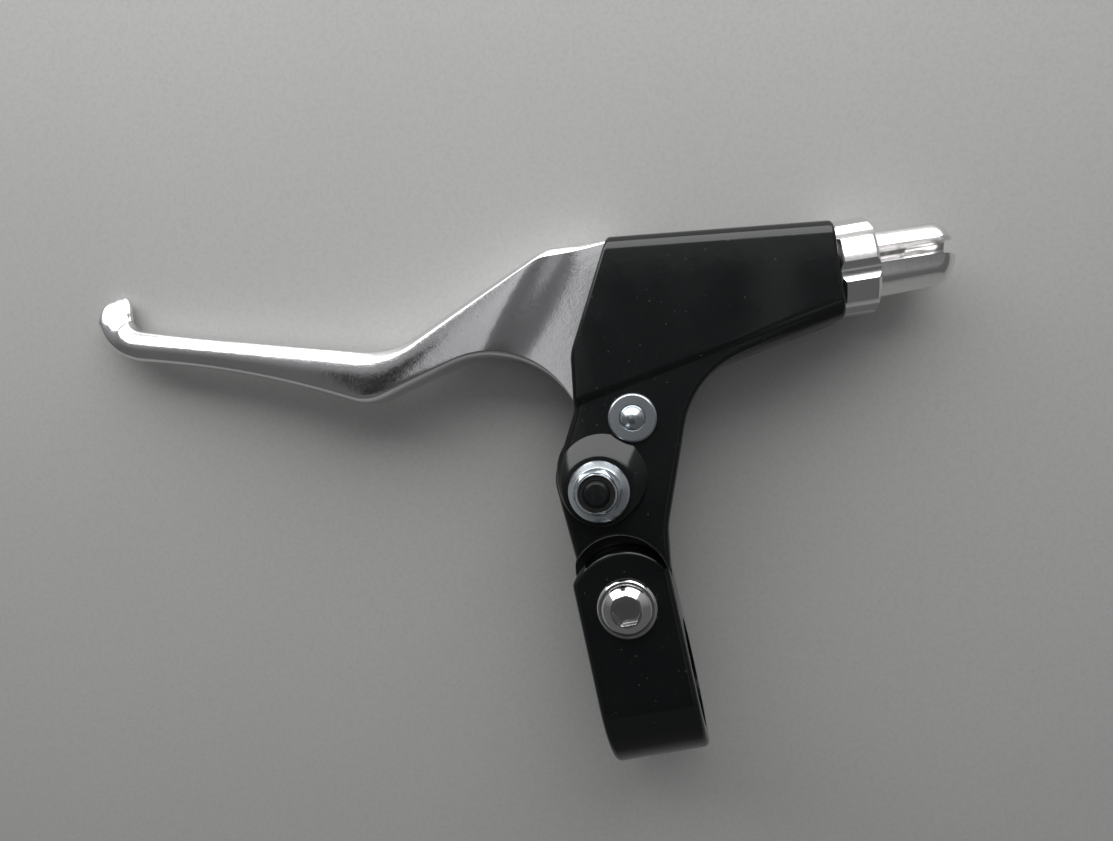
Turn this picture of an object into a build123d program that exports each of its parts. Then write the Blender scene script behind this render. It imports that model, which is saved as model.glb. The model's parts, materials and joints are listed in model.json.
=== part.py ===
from build123d import *
import os
from math import acos, atan2, cos, radians, sin, sqrt, tan

# A bicycle brake lever for a flat handlebar, in millimetres.
# The origin is the centre of the handlebar bore. X runs along the handlebar towards the cable
# adjuster, Y from the handlebar towards the lever, and Z squarely out of the lever's plane, on the
# side where the clamp screw's head is. Points of the lever and its housing are given from the pivot.

# Handlebar clamp
BAR_D = 22.2
CLAMP_WALL = 3.9
BAND_WIDTH = 19.4
BAND_EDGE_R = 1.2
TAB_THICK = 5.2
TAB_END_BULGE = 1.9  # how much larger the tab's end radius is than half the band
TAB_CORNER_R = 2.5
SLIT_WIDTH = 1.2
RELIEF_GAP = 2.8  # air between the tab's end and the neck
RELIEF_R = 9.5  # the neck's hollow round the tab's end
RELIEF_FOOT = 1.4  # below this far above its middle the hollow is open to both sides

# Clamp screw
SCREW_D = 6.0
SCREW_WALL = 4.5  # metal between the handlebar bore and the screw
SCREW_LENGTH = 16.0
SCREW_FLANGE_D = 11.9
SCREW_FLANGE_T = 1.0
SCREW_HEAD_D = 9.8
SCREW_HEAD_H = 3.3
SCREW_SIDE = 0.8  # straight side between the flange and the dome
SCREW_CROWN_D = 5.9  # flat top round the key socket
SCREW_BULGE = 0.1  # how far the dome stands out from a plain cone
SCREW_TIP = 0.7
SCREW_KEY = 5.0
SCREW_KEY_DEPTH = 2.4
SCREW_HOLE_CLEAR = 0.2  # in the tab
THREAD_CLEAR = 0.05  # radial, where a thread is drawn as a plain cylinder

# Lever plane and the housing's walls across it
LEVER_Z = 8.5
CHANNEL_W = 9.4
NECK_CHEEK = 4.4
BOX_CHEEK = 4.9
TONGUE_GAP = 0.5  # air on each side of the lever in the channel
NECK_WEB = 1.8  # metal between the tab's relief and the channel
EYE_R = 7.0
EYE_CLEAR = 0.6

# Pivot
PIVOT_D = 5.0
PIVOT_CLEAR = 0.1
BUSH_WALL = 1.4
BUSH_LENGTH = 3.6
BUSH_FLANGE_R = 5.6
BUSH_FLANGE_T = 0.4
BUSH_RUN = 0.06  # radial running clearance on the bolt
BUSH_SEAT = 0.02
BOLT_KEY = 8.0
BOLT_HEAD_H = 3.5
BOLT_PROUD = 0.5  # bolt end beyond the nut
BOLT_TIP = 0.6
BOSS_H = 2.0
BOSS_TOP_R = 6.6
BOSS_BASE_R = 9.4
BOSS_LEAN = (1.6, 3.4)  # the boss's foot lies this far from the pivot

# Pivot nut with a nylon ring
NUT_KEY = 8.0
NUT_FLANGE_D = 11.8
NUT_FLANGE_T = 1.0
NUT_CONE_H = 0.9
NUT_HEX_H = 4.9
NUT_HEIGHT = 6.2
NUT_COLLAR_D = 7.9
NUT_COLLAR_EDGE = 0.3
INSERT_D = 6.9
INSERT_T = 1.7
INSERT_SINK = 0.25
INSERT_SEAT = 0.02

# Rivet that stops the lever at rest
STOP_AT = (9.2, 12.4)
RIVET_D = 4.9
RIVET_SEAT = 0.03
RIVET_HEAD_D = 8.4
RIVET_HEAD_H = 2.0
RIVET_DOME_H = 1.3
WASHER_D = 9.5
WASHER_T = 0.9
WASHER_EDGE = 0.35
WASHER_CLEAR = 0.05
STOP_GAP = 0.3

# Neck, from the bar to the housing. Each point is (x, y) from the pivot, then its rounding.
NECK_ROOT_IN = 0.5  # the neck's foot lies this far inside the band
NECK_ROOT_R = 8.0
NECK_LEFT = [((-7.5, -12.5), 8.0), ((-8.4, 4.2), 8.0), ((-1.7, 16.0), 10.0)]
NECK_THROAT_X = 22.3
NECK_THROAT_R = 18.0
NECK_RIGHT = [((11.4, -9.5), 15.0)]
NECK_EDGE_R = 1.3
NECK_TAPER_END = 10.3  # the rear taper from the ring ends this far below the pivot
NECK_TAPER_R = 12.0

# Housing round the lever's end and the cable
BOX_TOP_LEFT = (11.95, 48.1)
BOX_TOP_SLOPE = -9.8
BOX_LOW_LEFT = (-1.9, 14.6)
BOX_LOW_SLOPE = 8.0
BOX_END_X = 53.2  # where the cable's line leaves the housing
BOX_LEFT_BEND = (0.2, 27.4)
BOX_BEND_R = 8.0
BOX_TOP_R = 3.2
BOX_LOW_R = 4.0
BOX_END_R = 0.9
BOX_WALL = 3.5
BOX_END_WALL = 9.6
CHANNEL_HEEL_R = 4.0
CHANNEL_CORNER_R = 2.0
CHANNEL_STEP = 2.0  # the channel widens by this above the lever's eye

# Lever. Its outline runs from the tip along the finger side, round the tongue and back.
BLADE_DEPTH = 12.0
BLADE_EDGE_R = 2.2
TIP_DEPTH = 6.0
TAPER_START = -34.0  # from here to the tip the blade's depth tapers
TAPER_BEND_R = 200.0
TIP = [((-100.4, 62.9), 2.55), ((-94.4, 62.9), 2.55)]
FINGER_SIDE = [((-95.3, 55.1), 4.0), ((-36.5, 36.2), 19.0), ((-0.8, 49.5), 5.0)]
TONGUE_END = [((12.6, 48.45), 2.0), ((20.8, 35.7), 5.0), ((19.0, 23.7), 4.0)]
TONGUE_FOOT = (-3.1, 1.7)  # inside the eye
BAR_SIDE = [((10.35, 38.55), 19.8), ((-43.8, 26.6), 10.0)]
BAR_SIDE += [((-65.9, 38.7), 215.0), ((-98.1, 49.5), 11.0)]
ARM_FILLET = 3.0
RAMP_MIDDLE = (-6.0, 39.7)  # the ramp from the blade's depth down to the tongue's
RAMP_ANGLE = 50.2
RAMP_LENGTH = 6.5
CABLE_ARM = 36.2  # from the pivot up to the cable's line
CABLE_SLOPE = -4.2
NIPPLE_X = 14.0
NIPPLE_D = 7.2
NIPPLE_DEPTH = 7.0
CABLE_SLOT = 2.2
LEVER_CLEAR = 0.8  # between the lever's shoulder and the housing's top wall

# Cable adjuster
RING_D = 18.8
RING_W = 7.2
RING_LOBES = 7
RING_GROOVE_R = 3.2
RING_GROOVE_DEPTH = 0.8
RING_EDGE = 0.7
RING_GAP = 0.12  # between the ring's faces and its neighbours
BARREL_THREAD_D = 10.0
BARREL_RUN = 0.08
BARREL_IN = 9.0  # thread inside the housing
BARREL_THREAD_EDGE = 0.6
BARREL_D = 13.2
BARREL_END_D = 12.4
BARREL_LENGTH = 14.8
BARREL_NOSE = 4.0
BARREL_NOSE_D = 7.0
BARREL_NOSE_BULGE = 0.6  # how far the nose stands out from a plain cone
BARREL_NOSE_BEND = 0.62  # where along the nose it stands out most
HOUSING_D = 5.2  # socket for the cable's housing
HOUSING_DEPTH = 8.0
CABLE_HOLE_D = 2.6
BARREL_SLOT = 2.9
BARREL_SLOT_TURN = 8.0  # the slot faces this far from +Z towards the lever's tip side

# Sizes worked out from those above
HALF_BAND = BAND_WIDTH / 2
CLAMP_R = BAR_D / 2 + CLAMP_WALL
SCREW_Y = BAR_D / 2 + SCREW_WALL + SCREW_D / 2
TAB_END_R = HALF_BAND + TAB_END_BULGE
SLIT_TOP = CLAMP_R - TAB_THICK
SLIT_BOTTOM = SLIT_TOP - SLIT_WIDTH
PIVOT_Y = SCREW_Y + TAB_END_R + RELIEF_GAP + NECK_WEB + EYE_CLEAR + EYE_R
CHANNEL_FRONT = LEVER_Z + CHANNEL_W / 2
CHANNEL_REAR = LEVER_Z - CHANNEL_W / 2
NECK_FRONT = CHANNEL_FRONT + NECK_CHEEK
NECK_REAR = CHANNEL_REAR - NECK_CHEEK
BOX_FRONT = CHANNEL_FRONT + BOX_CHEEK
BOX_REAR = CHANNEL_REAR - BOX_CHEEK
TONGUE_T = CHANNEL_W - 2 * TONGUE_GAP
BOSS_TOP = NECK_FRONT + BOSS_H
NUT_TOP = BOSS_TOP + NUT_HEIGHT
PIVOT_HOLE_R = PIVOT_D / 2 + PIVOT_CLEAR
BUSH_R = PIVOT_D / 2 + BUSH_RUN + BUSH_WALL
FAR = 60.0  # past every part, for cuts that run right out
OVER = 1.0  # a cut starts this far outside the face that it goes into
NEAR = 0.01  # how close an edge lies to the line that picks it

FROM_BASE = (Align.CENTER, Align.CENTER, Align.MIN)
TOWARDS_X = (Align.MIN, Align.CENTER, Align.MIN)

PIVOT = (0, PIVOT_Y)
STOP = (STOP_AT[0], PIVOT_Y + STOP_AT[1])


def crossing(point, slope, other, other_slope):
    """Where the lines through two points cross, each at its own slope in degrees."""
    rise = tan(radians(slope))
    other_rise = tan(radians(other_slope))
    x = (other[1] - point[1] + rise * point[0] - other_rise * other[0]) / (rise - other_rise)
    return (x, point[1] + rise * (x - point[0]))


BOX_END = (BOX_END_X, CABLE_ARM + BOX_END_X * tan(radians(CABLE_SLOPE)))
BOX_TOP_RIGHT = crossing(BOX_TOP_LEFT, BOX_TOP_SLOPE, BOX_END, CABLE_SLOPE + 90)
BOX_LOW_RIGHT = crossing(BOX_LOW_LEFT, BOX_LOW_SLOPE, BOX_END, CABLE_SLOPE + 90)


def from_pivot(point):
    """A point given from the pivot, in the part's own frame."""
    return (point[0], PIVOT_Y + point[1])


def outline(corners):
    """A closed face from (point, rounding) corners."""
    points = [point for point, rounding in corners]
    roundings = [rounding for point, rounding in corners]
    return make_face(FilletPolyline(*points, radius=roundings, close=True))


def slab(face, bottom, top):
    """A face of the lever's plane, given depth."""
    return extrude(Pos(0, 0, bottom) * face, amount=top - bottom)


def post(radius, bottom, top, at=(0, 0)):
    """A round post or hole along Z."""
    return Pos(at[0], at[1], bottom) * Cylinder(radius, top - bottom, align=FROM_BASE)


def turned(points, plane=Plane.XY):
    """A solid of revolution from (radius, height) points, standing on a plane."""
    face = make_face(Polyline(*[(radius, 0, height) for radius, height in points], close=True))
    return plane * revolve(face, Axis.Z)


def hexagon(key, height):
    """A hexagon across a key's flats, its upper corners turned off."""
    flat_r = key / 2
    corner_r = flat_r / cos(radians(30))
    shoulder = height - (corner_r - flat_r) * tan(radians(30))
    cone = turned([(0, 0), (corner_r, 0), (corner_r, shoulder), (flat_r, height), (0, height)])
    return extrude(RegularPolygon(flat_r, 6, major_radius=False), amount=height) & cone


def line_height(start, end, x):
    """The height of the line through two points at x."""
    return start[1] + (end[1] - start[1]) * (x - start[0]) / (end[0] - start[0])


def cable_height(x):
    """The cable's line, from the pivot."""
    return CABLE_ARM + x * tan(radians(CABLE_SLOPE))


def adjuster_plane():
    """The plane of the housing's end, where the cable's line leaves it. Its own X points along +Z."""
    slope = radians(CABLE_SLOPE)
    along_cable = (cos(slope), sin(slope), 0)
    return Plane(origin=(*from_pivot(BOX_END), LEVER_Z), x_dir=(0, 0, 1), z_dir=along_cable)


def ring_tangent(point):
    """Where the lower tangent from a point of the side view touches the clamp's ring."""
    y, z = point
    distance = sqrt(y * y + z * z)
    angle = atan2(z, y) - acos(CLAMP_R / distance)
    return (CLAMP_R * cos(angle), CLAMP_R * sin(angle))


def clamp_block():
    """The split ring and its tab, with the jaw behind the tab, drawn in the side view."""
    taper_end = (PIVOT_Y - NECK_TAPER_END, NECK_REAR)
    touch = ring_tangent(taper_end)
    tab_end = SCREW_Y + TAB_END_R
    contour = Curve() + [
        Line((tab_end, CLAMP_R), (0, CLAMP_R)),
        ThreePointArc((0, CLAMP_R), (-CLAMP_R, 0), touch),
        Line(touch, (tab_end, line_height(touch, taper_end, tab_end))),
        Line((tab_end, line_height(touch, taper_end, tab_end)), (tab_end, CLAMP_R)),
    ]
    block = extrude(Plane.YZ * make_face(contour), amount=HALF_BAND, both=True)
    shoulder = SCREW_Y + sqrt(TAB_END_R**2 - HALF_BAND**2)
    plan = Curve() + [
        Polyline((HALF_BAND, shoulder), (HALF_BAND, -FAR), (-HALF_BAND, -FAR), (-HALF_BAND, shoulder)),
        ThreePointArc((-HALF_BAND, shoulder), (0, tab_end), (HALF_BAND, shoulder)),
    ]
    plan_face = make_face(plan)
    ends = plan_face.vertices().filter_by_position(Axis.Y, shoulder - NEAR, shoulder + NEAR)
    plan_face = fillet(ends, TAB_CORNER_R)
    block = block & slab(plan_face, -FAR, FAR)
    along_y = block.edges().filter_by(Axis.Y)
    block = fillet(along_y.filter_by_position(Axis.Z, CLAMP_R - NEAR, CLAMP_R + NEAR), BAND_EDGE_R)
    slit = Pos(0, FAR / 2, (SLIT_TOP + SLIT_BOTTOM) / 2) * Box(BAND_WIDTH * 2, FAR, SLIT_WIDTH)
    return block - slit


def neck():
    """The neck between the clamp and the housing, with the hollow that clears the clamp's tab."""
    foot = HALF_BAND - NECK_ROOT_IN
    throat = (NECK_THROAT_X, line_height(BOX_LOW_LEFT, BOX_LOW_RIGHT, NECK_THROAT_X))
    inside_x = NECK_THROAT_X + NECK_THROAT_R
    inside = (inside_x, line_height(BOX_LOW_LEFT, BOX_LOW_RIGHT, inside_x) + OVER)
    corners = [((-foot, 0), 0), ((-foot, SCREW_Y), NECK_ROOT_R)]
    corners += [(from_pivot(point), rounding) for point, rounding in NECK_LEFT]
    corners += [(from_pivot((BOX_LEFT_BEND[0] + BOX_WALL / 2, BOX_LEFT_BEND[1])), 0)]
    corners += [(from_pivot((inside_x, BOX_LEFT_BEND[1])), 0), (from_pivot(inside), 0)]
    corners += [(from_pivot(throat), NECK_THROAT_R)]
    corners += [(from_pivot(point), rounding) for point, rounding in NECK_RIGHT]
    corners += [((foot, SCREW_Y), NECK_ROOT_R), ((foot, 0), 0)]
    plan = slab(outline(corners), -FAR, FAR)

    taper_end = (PIVOT_Y - NECK_TAPER_END, NECK_REAR)
    top = PIVOT_Y + BOX_LEFT_BEND[1] + OVER
    side = [((0, 0), 0), (ring_tangent(taper_end), 0), (taper_end, NECK_TAPER_R)]
    side += [((top, NECK_REAR), 0), ((top, NECK_FRONT), 0), ((0, NECK_FRONT), 0)]
    body = plan & extrude(Plane.YZ * outline(side), amount=FAR, both=True)
    body = fillet(body.faces().sort_by(Axis.Z)[-1].edges(), NECK_EDGE_R)

    # The hollow round the tab, with its upper edge rounded over.
    middle = SCREW_Y + TAB_END_R + RELIEF_GAP - RELIEF_R
    edge = RELIEF_R + NECK_EDGE_R
    shoulder = NECK_FRONT - NECK_EDGE_R
    on_round = (edge - NECK_EDGE_R * sqrt(0.5), shoulder + NECK_EDGE_R * sqrt(0.5))
    inner_side = [(0, FAR), (0, SLIT_BOTTOM), (RELIEF_R, SLIT_BOTTOM), (RELIEF_R, shoulder)]
    contour = Curve() + [
        Polyline((edge, NECK_FRONT), (edge, FAR), *inner_side),
        ThreePointArc((RELIEF_R, shoulder), on_round, (edge, NECK_FRONT)),
    ]
    hollow = Pos(0, middle, 0) * revolve(Plane.XZ * make_face(contour), Axis.Z)
    below = Pos(0, middle + RELIEF_FOOT - FAR / 2) * Rectangle(FAR, FAR)
    return body - hollow - slab(below, SLIT_BOTTOM, FAR)


def pivot_boss():
    """The raised seat of the pivot nut, leaning into the neck on the lever's side."""
    foot = Pos(BOSS_LEAN[0], PIVOT_Y + BOSS_LEAN[1], NECK_FRONT - NECK_EDGE_R) * Circle(BOSS_BASE_R)
    seat = Pos(0, PIVOT_Y, BOSS_TOP) * Circle(BOSS_TOP_R)
    return loft([foot, seat])


def housing():
    """The box round the lever's end, solid, with its four long edges and two ends rounded."""
    square_corners = (BOX_TOP_LEFT, BOX_TOP_RIGHT, BOX_LOW_RIGHT, BOX_LOW_LEFT)
    corners = [(from_pivot(point), 0) for point in square_corners]
    corners += [(from_pivot(BOX_LEFT_BEND), BOX_BEND_R)]
    body = slab(outline(corners), BOX_REAR, BOX_FRONT)
    for start, end, radius in (
        (BOX_TOP_LEFT, BOX_TOP_RIGHT, BOX_TOP_R),
        (BOX_LOW_LEFT, BOX_LOW_RIGHT, BOX_LOW_R),
    ):
        middle = Vector(*from_pivot(((start[0] + end[0]) / 2, (start[1] + end[1]) / 2)))
        edges = [e for e in body.edges() if (Vector(e.center().X, e.center().Y) - middle).length < OVER]
        body = fillet(edges, radius)
    ends = body.faces().sort_by(Axis.X)[-1].edges() + body.faces().sort_by(Axis.X)[0].edges()
    return fillet(ends, BOX_END_R)


def channel():
    """The slot between the housing's cheeks, open towards the blade."""
    eye_room = EYE_R + EYE_CLEAR
    wall = BOX_WALL / cos(radians(CABLE_SLOPE))
    end_x = BOX_LOW_RIGHT[0] - BOX_END_WALL
    shoulder, nose, heel = [point for point, rounding in TONGUE_END]
    low = [(x, line_height(BOX_LOW_LEFT, BOX_LOW_RIGHT, x) + wall) for x in (heel[0], end_x)]
    roof_x = (shoulder[0] + nose[0]) / 2
    roof = [(x, line_height(BOX_TOP_LEFT, BOX_TOP_RIGHT, x) - wall) for x in (end_x, roof_x)]
    mouth_x = shoulder[0] + LEVER_CLEAR
    corners = [((-FAR, -eye_room), 0), ((eye_room, -eye_room), eye_room - NEAR)]
    corners += [((eye_room + CHANNEL_STEP, EYE_R), CHANNEL_HEEL_R), (low[0], CHANNEL_HEEL_R)]
    corners += [(low[1], CHANNEL_CORNER_R), (roof[0], CHANNEL_CORNER_R), (roof[1], 0)]
    corners += [((mouth_x, BOX_TOP_LEFT[1] + BOX_WALL), 0), ((-FAR, BOX_TOP_LEFT[1] + BOX_WALL), 0)]
    face = outline([(from_pivot(point), rounding) for point, rounding in corners])
    return slab(face, CHANNEL_REAR, CHANNEL_FRONT)


def bracket():
    """The die-cast body: clamp, neck and housing in one piece."""
    body = clamp_block() + neck() + pivot_boss() + housing() - channel()
    body -= Rot(0, 90, 0) * Cylinder(BAR_D / 2, FAR)
    body -= post(SCREW_D / 2 + SCREW_HOLE_CLEAR, SLIT_TOP, FAR, (0, SCREW_Y))
    body -= post(SCREW_D / 2 + THREAD_CLEAR, -FAR, SLIT_TOP, (0, SCREW_Y))
    body -= post(PIVOT_HOLE_R, -FAR, FAR, PIVOT)
    body -= post(RIVET_D / 2 + RIVET_SEAT, -FAR, FAR, STOP)
    end = adjuster_plane()
    body -= end * post(BARREL_THREAD_D / 2 + BARREL_RUN, -BOX_END_WALL - BOX_WALL, FAR)
    slot_length = BOX_END_WALL + BOX_WALL + 2 * OVER
    slot = Box(FAR, CABLE_SLOT, slot_length, align=(Align.MAX, Align.CENTER, Align.MAX))
    return body - end * Pos(0, 0, 2 * OVER) * slot


def tongue_cut(side):
    """What is taken off one face of the lever to make its tongue. side is 1 in front and -1 behind."""
    deep = BLADE_DEPTH / 2
    thin = TONGUE_T / 2
    half = RAMP_LENGTH / 2
    section = [(-half, deep), (half, thin), (2 * FAR, thin), (2 * FAR, FAR), (-half, FAR)]
    along = radians(RAMP_ANGLE)
    across = (sin(along), -cos(along), 0)
    down_ramp = (side * cos(along), side * sin(along), 0)
    plane = Plane(origin=(*from_pivot(RAMP_MIDDLE), LEVER_Z), x_dir=across, z_dir=down_ramp)
    face = make_face(Polyline(*[(u, -w) for u, w in section], close=True))
    return extrude(plane * face, amount=FAR, both=True)


def lever_blade():
    """The forged lever: a blade that thins towards its tip, the web, and the tongue with its eye."""
    stop_x = STOP_AT[0] - RIVET_D / 2 - STOP_GAP
    corners = TIP + FINGER_SIDE + TONGUE_END
    corners += [((stop_x, STOP_AT[1] + RIVET_D), ARM_FILLET), ((stop_x, TONGUE_FOOT[1]), 0)]
    corners += [(TONGUE_FOOT, 0)] + BAR_SIDE
    face = outline(corners) + Circle(EYE_R)
    joins = [v for v in face.vertices() if abs((Vector(v.X, v.Y)).length - EYE_R) < NEAR]
    face = fillet(joins, ARM_FILLET)
    body = slab(Pos(*PIVOT) * face, -FAR, FAR)
    deep = BLADE_DEPTH / 2
    thin = TIP_DEPTH / 2
    tip_x = TIP[0][0][0] - OVER
    side = [((tip_x, thin), 0), ((TAPER_START, deep), TAPER_BEND_R), ((FAR, deep), 0)]
    side += [((FAR, -deep), 0), ((TAPER_START, -deep), TAPER_BEND_R), ((tip_x, -thin), 0)]
    body &= extrude(Pos(0, 0, LEVER_Z) * (Plane.XZ * outline(side)), amount=3 * FAR, both=True)
    broad_faces = body.faces().filter_by(lambda face: abs(face.normal_at().Z) > 0.5)
    rim = [e for face in broad_faces for e in face.edges().filter_by(Axis.Y, reverse=True)]
    body = fillet(rim, BLADE_EDGE_R)
    body = body - tongue_cut(1) - tongue_cut(-1)
    body -= post(BUSH_R + BUSH_SEAT, -FAR, FAR, PIVOT)
    rear = LEVER_Z - TONGUE_T / 2
    nipple = from_pivot((NIPPLE_X, cable_height(NIPPLE_X)))
    body -= post(NIPPLE_D / 2, rear - OVER, rear + NIPPLE_DEPTH, nipple)
    slot = Box(FAR, CABLE_SLOT, TONGUE_T / 2 + CABLE_SLOT / 2 + OVER, align=TOWARDS_X)
    return body - Pos(*nipple, rear - OVER) * Rot(0, 0, CABLE_SLOPE) * slot


def pivot_bush(side):
    """A flanged plastic bush in one end of the lever's eye. side is 1 in front and -1 behind."""
    bore = PIVOT_D / 2 + BUSH_RUN
    bush = turned(
        [
            (bore, BUSH_FLANGE_T),
            (bore, -BUSH_LENGTH),
            (BUSH_R, -BUSH_LENGTH),
            (BUSH_R, 0),
            (BUSH_FLANGE_R, 0),
            (BUSH_FLANGE_R, BUSH_FLANGE_T),
        ]
    )
    if side < 0:
        bush = Rot(180, 0, 0) * bush
    return Pos(*PIVOT, LEVER_Z + side * TONGUE_T / 2) * bush


def pivot_bolt():
    """The lever's axle: a hexagon-head bolt from behind."""
    length = NUT_TOP + BOLT_PROUD - NECK_REAR
    radius = PIVOT_D / 2
    tip = (radius - BOLT_TIP, length)
    shank = turned([(0, 0), (radius, 0), (radius, length - BOLT_TIP), tip, (0, length)])
    head = Rot(180, 0, 0) * hexagon(BOLT_KEY, BOLT_HEAD_H)
    return Pos(*PIVOT, NECK_REAR) * (shank + head)


def pivot_nut():
    """A flanged hexagon nut with a collar for its nylon ring."""
    bore = PIVOT_D / 2 + THREAD_CLEAR
    flange_r = NUT_FLANGE_D / 2
    collar_r = NUT_COLLAR_D / 2
    corner_r = NUT_KEY / 2 / cos(radians(30))
    cone_top = NUT_FLANGE_T + NUT_CONE_H
    seat = NUT_HEIGHT - INSERT_SINK - INSERT_T
    insert_r = INSERT_D / 2 + INSERT_SEAT
    flange_side = (flange_r, NUT_FLANGE_T / 2)
    flange = turned([(0, 0), (flange_r, 0), flange_side, (corner_r, cone_top), (0, cone_top)])
    collar_side = (collar_r, NUT_HEIGHT - 2 * NUT_COLLAR_EDGE)
    collar_top = (collar_r - NUT_COLLAR_EDGE, NUT_HEIGHT)
    collar = turned([(0, 0), (collar_r, 0), collar_side, collar_top, (0, NUT_HEIGHT)])
    nut = flange + hexagon(NUT_KEY, NUT_HEX_H) + collar
    nut -= post(bore, -OVER, NUT_HEIGHT + OVER)
    nut -= post(insert_r, seat, NUT_HEIGHT + OVER)
    return Pos(*PIVOT, BOSS_TOP) * nut


def lock_nut_ring():
    """The nylon ring in the pivot nut's collar."""
    ring = Cylinder(INSERT_D / 2, INSERT_T) - Cylinder(PIVOT_D / 2 + THREAD_CLEAR, INSERT_T)
    return Pos(*PIVOT, NUT_TOP - INSERT_SINK - INSERT_T / 2) * ring


def stop_rivet():
    """The riveted pin across the channel that stops the lever at rest, its end domed over the washer."""
    radius = RIVET_D / 2
    head_r = RIVET_HEAD_D / 2
    top = NECK_FRONT + WASHER_T
    shank = post(radius, NECK_REAR, top)
    dome_sphere_r = (radius**2 + RIVET_DOME_H**2) / (2 * RIVET_DOME_H)
    dome = Pos(0, 0, top + RIVET_DOME_H - dome_sphere_r) * Sphere(dome_sphere_r)
    dome &= post(radius, top, top + RIVET_DOME_H + OVER)
    head_sphere_r = (head_r**2 + RIVET_HEAD_H**2) / (2 * RIVET_HEAD_H)
    head = Pos(0, 0, NECK_REAR - RIVET_HEAD_H + head_sphere_r) * Sphere(head_sphere_r)
    head &= post(head_r + OVER, NECK_REAR - RIVET_HEAD_H - OVER, NECK_REAR)
    return Pos(*STOP) * (shank + dome + head)


def stop_washer():
    """The washer under the rivet's domed end."""
    inner = RIVET_D / 2 + WASHER_CLEAR
    outer = WASHER_D / 2
    edge = [(outer, WASHER_T - WASHER_EDGE), (outer - WASHER_EDGE, WASHER_T)]
    washer = turned([(inner, 0), (outer, 0), *edge, (inner, WASHER_T)])
    return Pos(*STOP, NECK_FRONT) * washer


def clamp_screw():
    """The clamp's screw: a flanged, domed head with a hexagon socket."""
    flange_r = SCREW_FLANGE_D / 2
    head_r = SCREW_HEAD_D / 2
    crown_r = SCREW_CROWN_D / 2
    shank_r = SCREW_D / 2
    dome_start = SCREW_FLANGE_T + SCREW_SIDE
    middle = ((head_r + crown_r) / 2, (dome_start + SCREW_HEAD_H) / 2)
    bulge = (middle[0] + SCREW_BULGE, middle[1] + SCREW_BULGE)
    contour = Curve() + [
        Polyline(
            (0, SCREW_HEAD_H),
            (0, -SCREW_LENGTH),
            (shank_r - SCREW_TIP, -SCREW_LENGTH),
            (shank_r, SCREW_TIP - SCREW_LENGTH),
            (shank_r, 0),
            (flange_r, 0),
            (flange_r, SCREW_FLANGE_T / 2),
            (flange_r - SCREW_FLANGE_T / 2, SCREW_FLANGE_T),
            (head_r, SCREW_FLANGE_T),
            (head_r, dome_start),
        ),
        ThreePointArc((head_r, dome_start), bulge, (crown_r, SCREW_HEAD_H)),
        Line((crown_r, SCREW_HEAD_H), (0, SCREW_HEAD_H)),
    ]
    body = revolve(Plane.XZ * make_face(contour), Axis.Z)
    socket = extrude(RegularPolygon(SCREW_KEY / 2, 6, major_radius=False), amount=SCREW_KEY_DEPTH)
    body -= Pos(0, 0, SCREW_HEAD_H - SCREW_KEY_DEPTH) * socket
    return Pos(0, SCREW_Y, CLAMP_R) * body


def adjuster_lock_ring():
    """The lobed ring that locks the adjuster against the housing, slotted for the cable."""
    radius = RING_D / 2
    plan = Circle(radius)
    groove_at = radius - RING_GROOVE_DEPTH + RING_GROOVE_R
    plan -= PolarLocations(groove_at, RING_LOBES) * Circle(RING_GROOVE_R)
    ring = extrude(plan, amount=RING_W)
    ring &= turned(
        [
            (0, 0),
            (radius - RING_EDGE, 0),
            (radius, RING_EDGE),
            (radius, RING_W - RING_EDGE),
            (radius - RING_EDGE, RING_W),
            (0, RING_W),
        ]
    )
    ring -= post(BARREL_THREAD_D / 2 + BARREL_RUN, -OVER, RING_W + OVER)
    slot = Box(FAR, CABLE_SLOT, RING_W + 2 * OVER, align=(Align.MAX, Align.CENTER, Align.MIN))
    ring -= Pos(0, 0, -OVER) * slot
    return adjuster_plane() * Pos(0, 0, RING_GAP) * ring


def adjuster_barrel():
    """The hollow adjusting screw with its round-nosed, slotted head."""
    thread_r = BARREL_THREAD_D / 2
    head_start = RING_W + 2 * RING_GAP
    end = head_start + BARREL_LENGTH
    nose_start = end - BARREL_NOSE
    nose_r = BARREL_NOSE_D / 2
    side_r = BARREL_END_D / 2
    bend = ((side_r + nose_r) / 2 + BARREL_NOSE_BULGE, nose_start + BARREL_NOSE * BARREL_NOSE_BEND)
    contour = Curve() + [
        Polyline(
            (0, end),
            (0, -BARREL_IN),
            (thread_r - BARREL_THREAD_EDGE, -BARREL_IN),
            (thread_r, BARREL_THREAD_EDGE - BARREL_IN),
            (thread_r, head_start),
            (BARREL_D / 2, head_start),
            (side_r, nose_start),
        ),
        ThreePointArc((side_r, nose_start), bend, (nose_r, end)),
        Line((nose_r, end), (0, end)),
    ]
    body = revolve(Plane.XZ * make_face(contour), Axis.Z)
    body -= post(CABLE_HOLE_D / 2, -FAR, FAR)
    body -= post(HOUSING_D / 2, end - HOUSING_DEPTH, FAR)
    slot = Box(FAR, BARREL_SLOT, 2 * FAR, align=(Align.MIN, Align.CENTER, Align.CENTER))
    body -= Rot(0, 0, -BARREL_SLOT_TURN) * slot
    return adjuster_plane() * body


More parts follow.
